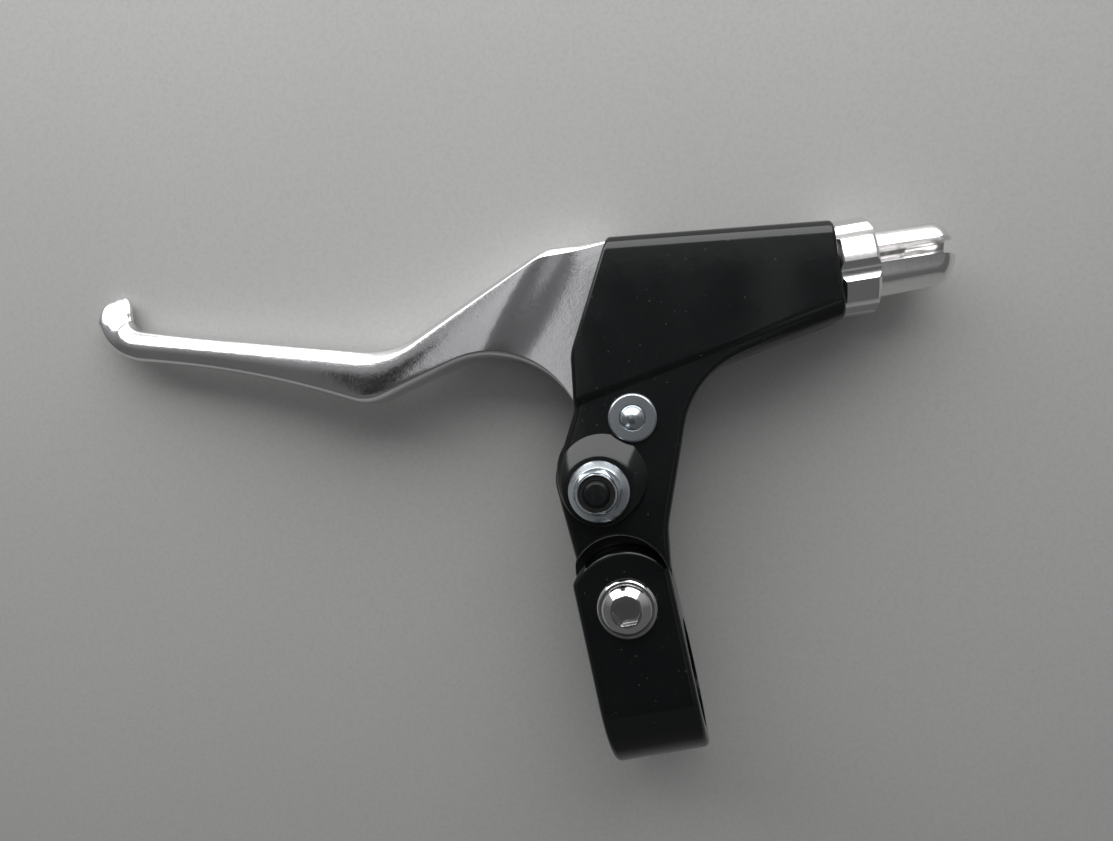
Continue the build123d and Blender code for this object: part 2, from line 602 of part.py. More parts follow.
os.makedirs("parts", exist_ok=True)
for name, shape in {
    "bracket": bracket(),
    "lever_blade": lever_blade(),
    "pivot_bolt": pivot_bolt(),
    "pivot_nut": pivot_nut(),
    "lock_nut_ring": lock_nut_ring(),
    "pivot_bush_front": pivot_bush(1),
    "pivot_bush_rear": pivot_bush(-1),
    "stop_rivet": stop_rivet(),
    "stop_washer": stop_washer(),
    "clamp_screw": clamp_screw(),
    "adjuster_lock_ring": adjuster_lock_ring(),
    "adjuster_barrel": adjuster_barrel(),
}.items():
    export_step(shape, f"parts/{name}.step")
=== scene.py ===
import json
import math

import bmesh
import bpy
from mathutils import Matrix, Vector
from mathutils.bvhtree import BVHTree


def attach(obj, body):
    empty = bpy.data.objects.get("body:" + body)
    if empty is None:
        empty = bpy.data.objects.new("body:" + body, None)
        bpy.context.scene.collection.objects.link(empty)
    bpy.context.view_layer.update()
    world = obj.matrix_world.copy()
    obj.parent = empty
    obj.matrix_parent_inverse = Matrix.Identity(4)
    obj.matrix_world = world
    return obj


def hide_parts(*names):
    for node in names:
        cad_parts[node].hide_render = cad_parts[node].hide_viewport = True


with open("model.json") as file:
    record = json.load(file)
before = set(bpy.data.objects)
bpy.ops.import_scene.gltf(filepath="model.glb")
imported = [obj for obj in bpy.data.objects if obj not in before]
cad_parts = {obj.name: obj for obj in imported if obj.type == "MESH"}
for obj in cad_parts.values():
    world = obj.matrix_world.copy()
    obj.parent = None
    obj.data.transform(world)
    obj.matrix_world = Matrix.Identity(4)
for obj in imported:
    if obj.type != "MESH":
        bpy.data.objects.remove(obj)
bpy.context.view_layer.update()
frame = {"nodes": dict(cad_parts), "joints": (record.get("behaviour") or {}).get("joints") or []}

# A bicycle brake lever lying on a pale table: black cast bracket, polished blade, bright fasteners
# and a turned cable adjuster. Lengths are in metres; the lists of points are in millimetres.
MM = 0.001

# The photograph's camera: its lens in the part's frame, and how it is turned from looking along -Z.
PHOTO_WIDTH = 1113
FOCAL_PIXELS = 836
SENSOR = 36.0
CLIP_START = 0.01
LENS_AT = Vector((15.45, 52.89, 178.99)) * MM
PHOTO_ROLL = math.radians(-12.5)
PHOTO_TILT = math.radians(7.5)
PHOTO_TURN = Matrix.Rotation(PHOTO_ROLL, 4, "Z") @ Matrix.Rotation(PHOTO_TILT, 4, "Y")
PHOTO_UP = PHOTO_TURN.col[1].to_3d()
PHOTO_OUT = PHOTO_TURN.col[2].to_3d()

# The table touches the clamp's ring, the blade's tip and the adjuster's lock ring from behind.
TABLE_REST = [Vector(point) * MM for point in ((0, 2.9, -14.7), (-97, 105, 5.2), (57, 74.9, -0.75))]
TABLE_HALF = 2.0
TABLE_LOW, TABLE_TIP, TABLE_RING = TABLE_REST
TABLE_NORMAL = (TABLE_RING - TABLE_LOW).cross(TABLE_TIP - TABLE_LOW).normalized()

# The window stands just above the table, beyond the photograph's top edge.
WINDOW_FROM = 55 * MM  # its distance is counted from this far above the clamp in the photograph
WINDOW_AWAY = 0.31
WINDOW_LEFT = 0.14
WINDOW_FOOT = 0.03
WINDOW_SIZE = (0.80, 0.38)
WINDOW_RADIANCE = 3.3

# Cards round the lens and a little behind it, in millimetres: left, right, foot and top from the
# lens, and how pale the card is.
CARDS_BEHIND = 6
CARDS = {
    "grey_card": ((-36, 36, -20, 62), 0.26),
    "low_card": ((-112, 70, -180, -20), 0.14),
    "side_card": ((46, 140, -20, 62), 0.22),
    "dark_card": ((-172, -102, -45, 44), 0.012),
}

# The room's brightness, and what its ceiling and its window side add to it between two heights.
ROOM_BASE = 0.11
ROOM_TINT = (1.0, 1.0, 1.02)
ROOM_GLOW = ((PHOTO_OUT, 0.32, 0.85, 0.945), (PHOTO_UP, 0.28, 0.0, 0.6))

JOINTS = {joint["name"]: joint for joint in frame["joints"]}
PIVOT = Vector(JOINTS["lever_pull"]["pos_m"])
CABLE_START = Vector(JOINTS["adjuster_turn"]["pos_m"])
CABLE_AXIS = Vector(JOINTS["adjuster_turn"]["axis"])


# Meshes

JOINED = 0.5e-6  # vertices closer than this are one
FLAT_ANGLE = 0.3  # faces that meet at less than this many degrees become one
EASED_ANGLE = 28  # edges sharper than this many degrees are rounded
EASED_STEPS = 2


def merged_copy(node):
    """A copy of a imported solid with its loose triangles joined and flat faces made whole."""
    copy = bmesh.new()
    copy.from_mesh(frame["nodes"][node].data)
    bmesh.ops.remove_doubles(copy, verts=copy.verts, dist=JOINED)
    flat = math.radians(FLAT_ANGLE)
    bmesh.ops.dissolve_limit(copy, angle_limit=flat, verts=copy.verts, edges=copy.edges)
    return copy


def sharp_edges(mesh, angle):
    """The edges where two faces meet at more than an angle in degrees."""
    limit = math.radians(angle)
    return [edge for edge in mesh.edges if edge.is_manifold and edge.calc_face_angle() > limit]


def ease_edges(mesh, width):
    """Rounds the sharp edges."""
    bmesh.ops.bevel(
        mesh,
        geom=sharp_edges(mesh, EASED_ANGLE),
        offset=width,
        offset_type="OFFSET",
        segments=EASED_STEPS,
        profile=0.5,
        affect="EDGES",
        clamp_overlap=True,
        material=-1,
    )


def new_object(mesh, name, finish):
    """Turns a mesh into an object in the scene, with a finish."""
    data = bpy.data.meshes.new(name)
    mesh.to_mesh(data)
    mesh.free()
    data.materials.append(finish)
    piece = bpy.data.objects.new(name, data)
    bpy.context.scene.collection.objects.link(piece)
    return piece


def place(mesh, name, node, body, finish, crease=40):
    """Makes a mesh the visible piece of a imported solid, smooth except at creases."""
    for face in mesh.faces:
        face.smooth = True
    for edge in sharp_edges(mesh, crease):
        edge.smooth = False
    piece = new_object(mesh, name, finish)
    weighted = piece.modifiers.new("even shading", "WEIGHTED_NORMAL")
    weighted.keep_sharp = True
    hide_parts(node)
    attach(piece, body)


# Finishes

def new_finish(name):
    """A material with its shader and its object coordinates."""
    finish = bpy.data.materials.new(name)
    finish.use_nodes = True
    tree = finish.node_tree
    coords = tree.nodes.new("ShaderNodeTexCoord").outputs["Object"]
    return finish, tree, tree.nodes["Principled BSDF"], coords


def spots(tree, coords, size, detail=2.0):
    """Soft irregular spots about a size across."""
    node = tree.nodes.new("ShaderNodeTexNoise")
    node.inputs["Scale"].default_value = 1 / size
    node.inputs["Detail"].default_value = detail
    tree.links.new(coords, node.inputs["Vector"])
    return node.outputs[0]


def along(tree, coords, axis, scale):
    """Coordinates squeezed across one axis, so that spots become fine rings round it."""
    turn = axis.to_track_quat("X", "Z").inverted().to_euler()
    node = tree.nodes.new("ShaderNodeMapping")
    node.vector_type = "POINT"
    node.inputs["Rotation"].default_value = turn
    node.inputs["Scale"].default_value = scale
    tree.links.new(coords, node.inputs["Vector"])
    return node.outputs["Vector"]


def spread(tree, value, low, high, start=0.3, end=0.7):
    """A value stretched to a new range, clamped."""
    node = tree.nodes.new("ShaderNodeMapRange")
    node.inputs["From Min"].default_value = start
    node.inputs["From Max"].default_value = end
    node.inputs["To Min"].default_value = low
    node.inputs["To Max"].default_value = high
    tree.links.new(value, node.inputs["Value"])
    return node.outputs["Result"]


def tint(tree, amount, first, second):
    """A colour between two colours."""
    node = tree.nodes.new("ShaderNodeMix")
    node.data_type = "RGBA"
    node.inputs[6].default_value = (*first, 1)
    node.inputs[7].default_value = (*second, 1)
    tree.links.new(amount, node.inputs[0])
    return node.outputs[2]


def strewn(tree, amount, ground, colour):
    """A colour strewn over a ground by an amount."""
    node = tree.nodes.new("ShaderNodeMix")
    node.data_type = "RGBA"
    node.inputs[7].default_value = (*colour, 1)
    tree.links.new(amount, node.inputs[0])
    tree.links.new(ground, node.inputs[6])
    return node.outputs[2]


def relief(tree, shader, layers):
    """Adds fine relief to a shader, as (height, depth in metres) layers."""
    normal = None
    for height, depth in layers:
        node = tree.nodes.new("ShaderNodeBump")
        node.inputs["Strength"].default_value = 1.0
        node.inputs["Distance"].default_value = depth
        tree.links.new(height, node.inputs["Height"])
        if normal is not None:
            tree.links.new(normal, node.inputs["Normal"])
        normal = node.outputs["Normal"]
    tree.links.new(normal, shader.inputs["Normal"])


def black_paint():
    """Gloss black paint on a die casting: orange peel, a few dust specks, a patchy gloss."""
    finish, tree, shader, coords = new_finish("gloss_black_paint")
    peel = spots(tree, coords, 2.2 * MM, 1.0)
    grit = spots(tree, coords, 0.35 * MM, 2.0)
    haze = spots(tree, coords, 9 * MM, 4.0)
    dust = spread(tree, spots(tree, coords, 0.7 * MM, 1.0), 0.0, 1.0, 0.74, 0.80)
    shader.inputs["IOR"].default_value = 1.48
    black = tint(tree, haze, (0.0030, 0.0037, 0.0038), (0.0055, 0.0062, 0.0064))
    tree.links.new(strewn(tree, dust, black, (0.05, 0.05, 0.048)), shader.inputs["Base Color"])
    tree.links.new(spread(tree, haze, 0.10, 0.19), shader.inputs["Roughness"])
    relief(tree, shader, [(peel, 14e-6), (grit, 1.2e-6), (dust, 4e-6)])
    return finish


def polished_aluminium():
    """A polished casting: bright, with the wavy grain that polishing leaves and a few pores."""
    finish, tree, shader, coords = new_finish("polished_aluminium")
    shader.inputs["Metallic"].default_value = 1.0
    wave = spots(tree, coords, 2.4 * MM, 1.0)
    grain = spots(tree, coords, 0.42 * MM, 2.0)
    cloud = spots(tree, coords, 7 * MM, 3.0)
    pores = spread(tree, spots(tree, coords, 0.6 * MM, 1.0), 0.0, 1.0, 0.76, 0.80)
    silver = tint(tree, cloud, (0.78, 0.78, 0.79), (0.86, 0.86, 0.865))
    tree.links.new(strewn(tree, pores, silver, (0.30, 0.30, 0.31)), shader.inputs["Base Color"])
    tree.links.new(spread(tree, grain, 0.11, 0.20), shader.inputs["Roughness"])
    relief(tree, shader, [(wave, 20e-6), (grain, 11e-6)])
    return finish


def turned_aluminium():
    """Bright aluminium off the lathe, with fine rings round the cable's axis."""
    finish, tree, shader, coords = new_finish("turned_aluminium")
    shader.inputs["Metallic"].default_value = 1.0
    rings = spots(tree, along(tree, coords, CABLE_AXIS, (1.0, 0.02, 0.02)), 0.30 * MM, 2.0)
    cloud = spots(tree, coords, 3 * MM, 3.0)
    silver = tint(tree, cloud, (0.80, 0.79, 0.79), (0.88, 0.87, 0.865))
    tree.links.new(silver, shader.inputs["Base Color"])
    tree.links.new(spread(tree, rings, 0.14, 0.24), shader.inputs["Roughness"])
    relief(tree, shader, [(rings, 0.8e-6)])
    return finish


def bright_zinc():
    """Blue-bright zinc plate on steel, faintly mottled."""
    finish, tree, shader, coords = new_finish("bright_zinc_plate")
    shader.inputs["Metallic"].default_value = 1.0
    mottle = spots(tree, coords, 0.5 * MM, 3.0)
    grain = spots(tree, coords, 0.22 * MM, 2.0)
    zinc = tint(tree, mottle, (0.57, 0.62, 0.66), (0.62, 0.67, 0.70))
    tree.links.new(zinc, shader.inputs["Base Color"])
    tree.links.new(spread(tree, mottle, 0.22, 0.27), shader.inputs["Roughness"])
    relief(tree, shader, [(grain, 0.4e-6)])
    return finish


def chrome_plate():
    """Bright plate on the clamp's screw, with faint smears."""
    finish, tree, shader, coords = new_finish("bright_plate")
    shader.inputs["Metallic"].default_value = 1.0
    smear = spots(tree, coords, 1.8 * MM, 4.0)
    grain = spots(tree, coords, 0.3 * MM, 2.0)
    plate = tint(tree, smear, (0.72, 0.72, 0.73), (0.82, 0.82, 0.82))
    tree.links.new(plate, shader.inputs["Base Color"])
    tree.links.new(spread(tree, smear, 0.05, 0.13), shader.inputs["Roughness"])
    relief(tree, shader, [(grain, 1.0e-6)])
    return finish


def black_oxide():
    """Black oxide on the pivot bolt."""
    finish, tree, shader, coords = new_finish("black_oxide_steel")
    shader.inputs["IOR"].default_value = 1.35
    cloud = spots(tree, coords, 0.9 * MM, 4.0)
    black = tint(tree, cloud, (0.003, 0.0035, 0.004), (0.007, 0.0075, 0.008))
    tree.links.new(black, shader.inputs["Base Color"])
    tree.links.new(spread(tree, cloud, 0.28, 0.45), shader.inputs["Roughness"])
    relief(tree, shader, [(spots(tree, coords, 0.2 * MM), 3e-6)])
    return finish


def black_nylon():
    """Moulded nylon in the lock nut and the lever's bushes."""
    finish, tree, shader, coords = new_finish("black_nylon")
    shader.inputs["IOR"].default_value = 1.36
    cloud = spots(tree, coords, 0.7 * MM, 3.0)
    black = tint(tree, cloud, (0.004, 0.0045, 0.005), (0.010, 0.0105, 0.011))
    tree.links.new(black, shader.inputs["Base Color"])
    tree.links.new(spread(tree, cloud, 0.42, 0.60), shader.inputs["Roughness"])
    relief(tree, shader, [(spots(tree, coords, 0.15 * MM), 4e-6)])
    return finish


# Lever

# Sections across the blade from its tip to inside the housing, in millimetres from the pivot:
# a point on the finger side and one on the bar side, the width of the sloping finger-side facet,
# how far it falls and how it bends (1 is flat, 2 is round), the rounding of the bar side, and the
# crown of the broad faces.
TIP_END = (-96.9, 63.2, -1.5)
BLADE_SECTIONS = [
    ((-94.8, 58.9), (-99.8, 58.5), 2.5, 1.8, 1.5, 1.5, 0.0),
    ((-95.0, 57.0), (-99.4, 55.4), 2.5, 1.8, 1.5, 1.5, 0.1),
    ((-95.0, 55.2), (-98.0, 50.0), 2.4, 1.7, 1.5, 1.6, 0.1),
    ((-91.0, 53.6), (-93.0, 47.6), 2.3, 1.4, 1.45, 1.7, 0.1),
    ((-80.0, 50.1), (-82.0, 44.0), 2.1, 1.2, 1.4, 1.6, 0.1),
    ((-66.0, 45.6), (-68.2, 39.3), 2.1, 1.2, 1.35, 1.6, 0.15),
    ((-52.0, 41.2), (-55.5, 33.1), 2.3, 1.25, 1.35, 1.7, 0.2),
    ((-42.0, 38.6), (-47.5, 28.8), 2.6, 1.4, 1.35, 1.8, 0.2),
    ((-36.2, 38.0), (-42.8, 28.0), 2.5, 1.3, 1.35, 1.8, 0.2),
    ((-22.0, 41.6), (-31.0, 29.4), 2.2, 1.15, 1.35, 1.6, 0.2),
    ((-8.0, 46.8), (-21.5, 31.3), 2.1, 1.1, 1.35, 1.5, 0.15),
    ((2.0, 49.3), (-14.5, 30.3), 1.8, 0.9, 1.35, 1.4, 0.1),
    ((8.0, 48.9), (-7.6, 26.6), 1.1, 0.55, 1.35, 1.1, 0.0),
    ((12.2, 48.4), (-2.6, 20.0), 0.5, 0.25, 1.35, 0.7, 0.0),
    ((14.2, 46.2), (-0.6, 13.5), 0.3, 0.15, 1.35, 0.6, 0.0),
]
# The tip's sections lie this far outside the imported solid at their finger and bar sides, and this
# far inside it in front.
TIP_FLARES = [(1.0, 1.8, 1.9), (1.0, 1.4, 1.2), (0.9, 0.7, 0.3), (0.3, 0.1, 0.0)]
FACET_EDGE = 0.5 * MM  # rounding between the facet and the blade's finger edge
FINGER_FULLNESS, BAR_FULLNESS = 0.6, 0.7  # 1 is a round edge, less is fuller
FALL_LIMIT = 0.8  # share of the depth that a facet may fall
EDGE_STEPS = 4
SECTION_STEPS = 8  # stations from one section to the next
TIP_STEPS = 12  # stations round the tip's end
TIP_BLUNT = 0.85  # 1 is a plain dome, less is blunter
TIP_OPEN = 0.1  # the first station's place in its step, which keeps the tip from being a point
ROUND_STEPS = 8  # points round each rounding
FLAT_STEPS = 8  # points across each broad face
REACH = 8 * MM  # a section's width is measured from this far outside the blade
FRONT_REACH = 5 * REACH  # and its depth from this far in front of the pivot's level
DEPTH_SMOOTHING = 6  # rounds of evening out the depth along the blade
TONGUE_CUT = ((12.3, 48.0), (-1.0, 16.0))  # behind the housing's edge the lever keeps its packed form


def curve_through(values, position):
    """A smooth curve through a list of equal-length tuples, at a place counted in list steps."""
    index = min(int(position), len(values) - 2)
    part = position - index
    before = values[max(index - 1, 0)]
    start, end = values[index], values[index + 1]
    after = values[min(index + 2, len(values) - 1)]
    result = []
    for p, q, r, s in zip(before, start, end, after):
        bend = (2 * p - 5 * q + 4 * r - s) * part**2 + (3 * q - 3 * r + s - p) * part**3
        result.append(q + ((r - p) * part + bend) / 2)
    return result


def measured_section(tree, section):
    """The finger edge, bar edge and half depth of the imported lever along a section's line."""
    finger = PIVOT + Vector((section[0], section[1], 0)) * MM
    bar = PIVOT + Vector((section[2], section[3], 0)) * MM
    across = (finger - bar).normalized()
    finger = tree.ray_cast(finger + across * REACH, -across)[0]
    bar = tree.ray_cast(bar - across * REACH, across)[0]
    middle = (finger + bar) / 2
    top = tree.ray_cast(middle + Vector((0, 0, FRONT_REACH)), Vector((0, 0, -1)))[0]
    return finger, bar, top.z - PIVOT.z


def half_section(width, depth, facet, fall, bend, bar_round, crown):
    """The front half of a section, as (distance from the finger edge, height) points."""
    room = min(1, width / (FACET_EDGE + facet + bar_round))
    edge, facet, fall, bar_round = (length * room for length in (FACET_EDGE, facet, fall, bar_round))
    fall = min(fall, FALL_LIMIT * depth)
    foot = depth - fall
    quarter = [math.radians(90 * step / EDGE_STEPS) for step in range(EDGE_STEPS + 1)]
    start = [(edge * (1 - math.cos(a)), foot * math.sin(a) ** FINGER_FULLNESS) for a in quarter[:-1]]
    parts = [step / ROUND_STEPS for step in range(ROUND_STEPS + 1)]
    slope = [(edge + facet * part, depth - fall * (1 - part) ** bend) for part in parts]
    begin = edge + facet
    flat = width - begin - bar_round
    parts = [step / FLAT_STEPS for step in range(1, FLAT_STEPS)]
    broad = [(begin + flat * part, depth + crown * 4 * part * (1 - part)) for part in parts]
    turns = [math.radians(90 * step / ROUND_STEPS) for step in range(ROUND_STEPS, -1, -1)]
    end = [(width - bar_round * (1 - math.cos(a)), depth * math.sin(a) ** BAR_FULLNESS) for a in turns]
    return start + slope + broad + end


def blade_rings(packed):
    """The blade from its rounded tip to inside the housing, as rings of points."""
    flares = TIP_FLARES + [(0, 0, 0)] * (len(BLADE_SECTIONS) - len(TIP_FLARES))
    keys = [(*row[0], *row[1], *row[2:], *flare) for row, flare in zip(BLADE_SECTIONS, flares)]
    steps = (len(keys) - 1) * SECTION_STEPS
    stations = [curve_through(keys, step / SECTION_STEPS) for step in range(steps + 1)]
    measured = [measured_section(packed, station) for station in stations]
    depths = [depth for finger, bar, depth in measured]
    for _ in range(DEPTH_SMOOTHING):
        inner = [sum(depths[i - 1:i + 2]) / 3 for i in range(1, len(depths) - 1)]
        depths = depths[:1] + inner + depths[-1:]
    rings = []
    for (finger, bar, _), depth, station in zip(measured, depths, stations):
        facet, fall, bend, bar_round, crown, finger_flare, bar_flare, front_loss = station[4:]
        across = (finger - bar).normalized()
        finger = finger + across * finger_flare * MM
        bar = bar - across * bar_flare * MM
        shape = (facet * MM, fall * MM, bend, bar_round * MM, crown * MM)
        width = (finger - bar).length
        front = half_section(width, depth - front_loss * MM, *shape)
        back = [(at, -height) for at, height in half_section(width, depth, *shape)[-2:0:-1]]
        rings.append([finger - across * at + Vector((0, 0, height)) for at, height in front + back])
    middle = sum(rings[0], Vector()) / len(rings[0])
    reach = PIVOT + Vector(TIP_END) * MM - middle
    turns = [math.radians(90 * (step + TIP_OPEN) / TIP_STEPS) for step in range(TIP_STEPS)]
    dome = []
    for turn in turns:
        size = math.sin(turn) ** TIP_BLUNT
        dome.append([middle + (point - middle) * size + reach * math.cos(turn) for point in rings[0]])
    return dome + rings


def sweep(mesh, rings, closed=True):
    """Adds a skin over rings of points, closed at both ends or left open."""
    ring = bmesh.ops.create_circle(mesh, segments=len(rings[0]), radius=MM)["verts"]
    for step, points in enumerate(rings):
        if step:
            ring = next_ring(mesh, ring)
        for vert, point in zip(ring, points):
            vert.co = point
        if closed and step in (0, len(rings) - 1):
            close_ring(mesh, ring)
    bmesh.ops.recalc_face_normals(mesh, faces=mesh.faces)


def next_ring(mesh, ring):
    """Extrudes a ring of vertices and gives the new ring in the same order."""
    edges = [mesh.edges.get((a, b)) for a, b in zip(ring, ring[1:] + ring[:1])]
    made = bmesh.ops.extrude_edge_only(mesh, edges=edges)["geom"]
    new = {item for item in made if isinstance(item, bmesh.types.BMVert)}
    following = []
    for vert in ring:
        ends = [edge.other_vert(vert) for edge in vert.link_edges]
        following.append(next(end for end in ends if end in new))
    return following


def close_ring(mesh, ring):
    """Closes an end of a swept shape with a fan of faces."""
    face = bmesh.ops.contextual_create(mesh, geom=ring)["faces"]
    bmesh.ops.poke(mesh, faces=face)


def lever(finish):
    """The lever: its swept blade, and its packed tongue, arm and eye inside the housing."""
    packed = merged_copy("lever_blade")
    blade = bmesh.new()
    sweep(blade, blade_rings(BVHTree.FromBMesh(packed)))
    start, end = (PIVOT + Vector((*point, 0)) * MM for point in TONGUE_CUT)
    outwards = (start - end).cross(Vector((0, 0, 1)))
    cut = bmesh.ops.bisect_plane(
        packed,
        geom=[*packed.verts, *packed.edges, *packed.faces],
        plane_co=start,
        plane_no=outwards,
        clear_inner=True,
    )
    rim = [item for item in cut["geom_cut"] if isinstance(item, bmesh.types.BMEdge)]
    bmesh.ops.holes_fill(packed, edges=rim)
    tongue = bpy.data.meshes.new("lever_tongue")
    packed.to_mesh(tongue)
    packed.free()
    blade.from_mesh(tongue)
    bpy.data.meshes.remove(tongue)
    place(blade, "polished_lever", "lever_blade", "lever", finish, crease=35)


# Cable adjuster

# The barrel's outside in millimetres from the housing's end: the thread, the head and its nose.
THREAD_START = -9.0
THREAD_R = 5.0
THREAD_EDGE = 0.6
THREAD_PITCH = 1.0
THREAD_DEPTH = 0.55
THREAD_STEPS = 8  # rings of points in each turn
HEAD_START = 7.44
HEAD_R, HEAD_END_R = 6.8, 6.4
HEAD_EDGE = 0.25
NOSE_START, NOSE_END, NOSE_R = 18.24, 22.24, 3.5
NOSE_BEND, NOSE_BULGE = 1.6, 0.6
NOSE_STEPS = 12
FLATS = 8
FLAT_DEPTH = 0.40  # how far the flats of the head lie inside its round
FLAT_POINTS = 10  # points across each flat
BORE_R, SOCKET_R, SOCKET_START = 1.3, 2.6, 14.24
BARREL_SLOT = 1.7  # half of the slot's width
SLOT_TURN = math.radians(8)  # how far the slot is turned from straight up
BARREL_JOINED = 1e-6  # the barrel's points closer than this are one


def barrel_profile():
    """The barrel's stations from its inner end to its nose, as (place, radius, is it the head)."""
    thread = [(THREAD_START, THREAD_R - THREAD_EDGE, False)]
    steps = int((HEAD_START - THREAD_START - THREAD_EDGE) / THREAD_PITCH * THREAD_STEPS)
    for step in range(steps + 1):
        thread.append((THREAD_START + THREAD_EDGE + step * THREAD_PITCH / THREAD_STEPS, THREAD_R, False))
    head = [(HEAD_START, HEAD_R - HEAD_EDGE, True), (HEAD_START + HEAD_EDGE, HEAD_R, True)]
    head += [(SOCKET_START, (HEAD_R + HEAD_END_R) / 2, True)] * 2
    for step in range(NOSE_STEPS + 1):
        part = step / NOSE_STEPS
        bulge = NOSE_BULGE * math.sin(math.pi * part) * part
        radius = HEAD_END_R + (NOSE_R - HEAD_END_R) * part**NOSE_BEND + bulge
        head.append((NOSE_START + (NOSE_END - NOSE_START) * part, radius, True))
    return thread + [(HEAD_START, THREAD_R, False)] + head


def outer_points(at, radius, head):
    """The outside of the barrel's open section, from one side of its slot round to the other."""
    edge = math.asin(BARREL_SLOT / radius)
    count = FLATS * FLAT_POINTS
    steps = [2 * math.pi * step / count for step in range(count + 1)]
    angles = [min(max(angle, edge), 2 * math.pi - edge) for angle in steps]
    points = []
    for angle in angles:
        size = radius
        if head:
            flat = HEAD_R + (HEAD_END_R - HEAD_R) * (at - HEAD_START) / (NOSE_START - HEAD_START)
            size = min(radius, flat - FLAT_DEPTH * abs(math.sin(FLATS / 2 * angle)))
        elif radius == THREAD_R:
            phase = (at / THREAD_PITCH - angle / (2 * math.pi)) % 1
            size = radius - THREAD_DEPTH * (1 - abs(2 * phase - 1))
        points.append((size * math.cos(angle), size * math.sin(angle)))
    return points


def inner_points(radius, count):
    """The bore of the barrel's open section, from one side of its slot round to the other."""
    if radius > BARREL_SLOT:
        edge = math.asin(BARREL_SLOT / radius)
        angles = [edge + (2 * math.pi - 2 * edge) * step / (count - 1) for step in range(count)]
        return [(radius * math.cos(a), radius * math.sin(a)) for a in angles]
    angles = [math.pi / 2 + math.pi * step / (count - 3) for step in range(count - 2)]
    half = [(radius * math.cos(a), radius * math.sin(a)) for a in angles]
    return [(0, BARREL_SLOT)] + half + [(0, -BARREL_SLOT)]


def barrel(finish):
    """The cable adjuster's barrel: its thread, and its slotted head with flats and a round nose."""
    packed = frame["nodes"]["adjuster_barrel"].data.vertices
    end = max((vert.co - CABLE_START).dot(CABLE_AXIS) for vert in packed)
    start = CABLE_START + CABLE_AXIS * (end - NOSE_END * MM)
    across = CABLE_AXIS.cross(Vector((0, 0, 1)))
    to_slot = Vector((0, 0, 1)) * math.cos(SLOT_TURN) - across * math.sin(SLOT_TURN)
    beside = CABLE_AXIS.cross(to_slot)
    rings = []
    stations = barrel_profile()
    for index, (at, radius, head) in enumerate(stations):
        bored = at > SOCKET_START or (at == SOCKET_START and stations[index - 1][0] == SOCKET_START)
        outside = outer_points(at, radius, head)
        inside = inner_points(SOCKET_R if bored else BORE_R, len(outside))
        sections = [outside + inside[::-1]]
        if index == 0:
            sections.insert(0, inside + inside[::-1])
        if index == len(stations) - 1:
            sections.append(inside + inside[::-1])
        middle = start + CABLE_AXIS * at * MM
        for section in sections:
            rings.append([middle + (to_slot * u + beside * v) * MM for u, v in section])
    mesh = bmesh.new()
    sweep(mesh, rings, closed=False)
    bmesh.ops.remove_doubles(mesh, verts=mesh.verts, dist=BARREL_JOINED)
    bmesh.ops.dissolve_degenerate(mesh, edges=mesh.edges, dist=BARREL_JOINED / 10)
    bmesh.ops.recalc_face_normals(mesh, faces=mesh.faces)
    place(mesh, "slotted_barrel", "adjuster_barrel", "barrel", finish)


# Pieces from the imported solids

RING_TURN = math.radians(12)  # how far the lock ring's lobes are turned towards the lens
# A swelling of the neck's side below the clamp's slit, beside the tab's corner, in millimetres.
ROOT_FOOT, ROOT_HEAD = (-9.2, 21.0), (-7.35, 33.0)
ROOT_INSIDE = -6.0
ROOT_SWELL = 1.0
ROOT_SUNK = 0.05  # its ends lie this far inside the neck's side
ROOT_LEVELS = [  # height, and share of the swelling
    (8.57, 1.0),
    (8.3, 1.0),
    (6, 1.0),
    (3, 0.95),
    (0, 0.75),
    (-3, 0.4),
    (-6, 0.05),
]
ROOT_POINTS = 24

BOSS_FOOT = Vector((1.6, 3.4, -3.3)) * MM  # the middle of the boss's foot, from the middle of its seat
BOSS_FOOT_R = 9.4 * MM
BOSS_SEAT_R = 6.6 * MM
BOSS_SEAT_UP = 0.01 * MM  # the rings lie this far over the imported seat
BOSS_ROUND = 1.5  # 2 gives a plain cone, 1 a round dome
BOSS_SIDES = 120
BOSS_RINGS = 16


def neck_root(mesh):
    """Adds the swelling of the neck's side beside the tab's corner."""
    parts = [step / (ROOT_POINTS - 1) for step in range(ROOT_POINTS)]
    rings = []
    for height, swelling in ROOT_LEVELS:
        ring = []
        for part in parts:
            x, y = (foot + (head - foot) * part for foot, head in zip(ROOT_FOOT, ROOT_HEAD))
            ring.append((x + ROOT_SUNK - ROOT_SWELL * swelling * math.sin(math.pi * part) ** 2, y))
        ring += [(ROOT_INSIDE, y) for _, y in ring[::-1]]
        rings.append([Vector((x, y, height)) * MM for x, y in ring])
    sweep(mesh, rings)


def pivot_boss(mesh):
    """Lays even rings over the boss under the pivot nut, bulged a little and rounded at its seat."""
    nut = frame["nodes"]["pivot_nut"].data.vertices
    seat = Vector((PIVOT.x, PIVOT.y, min(vert.co.z for vert in nut) + BOSS_SEAT_UP))
    rings = []
    for step in range(BOSS_RINGS + 1):
        turn = math.radians(90 * step / BOSS_RINGS)
        low = max(math.cos(turn), 0) ** BOSS_ROUND
        high = math.sin(turn) ** BOSS_ROUND
        middle = seat + BOSS_FOOT * (1 - high)
        radius = BOSS_SEAT_R + (BOSS_FOOT_R - BOSS_SEAT_R) * low
        angles = [2 * math.pi * side / BOSS_SIDES for side in range(BOSS_SIDES)]
        rings.append([middle + Vector((math.cos(a), math.sin(a), 0)) * radius for a in angles])
    sweep(mesh, rings)


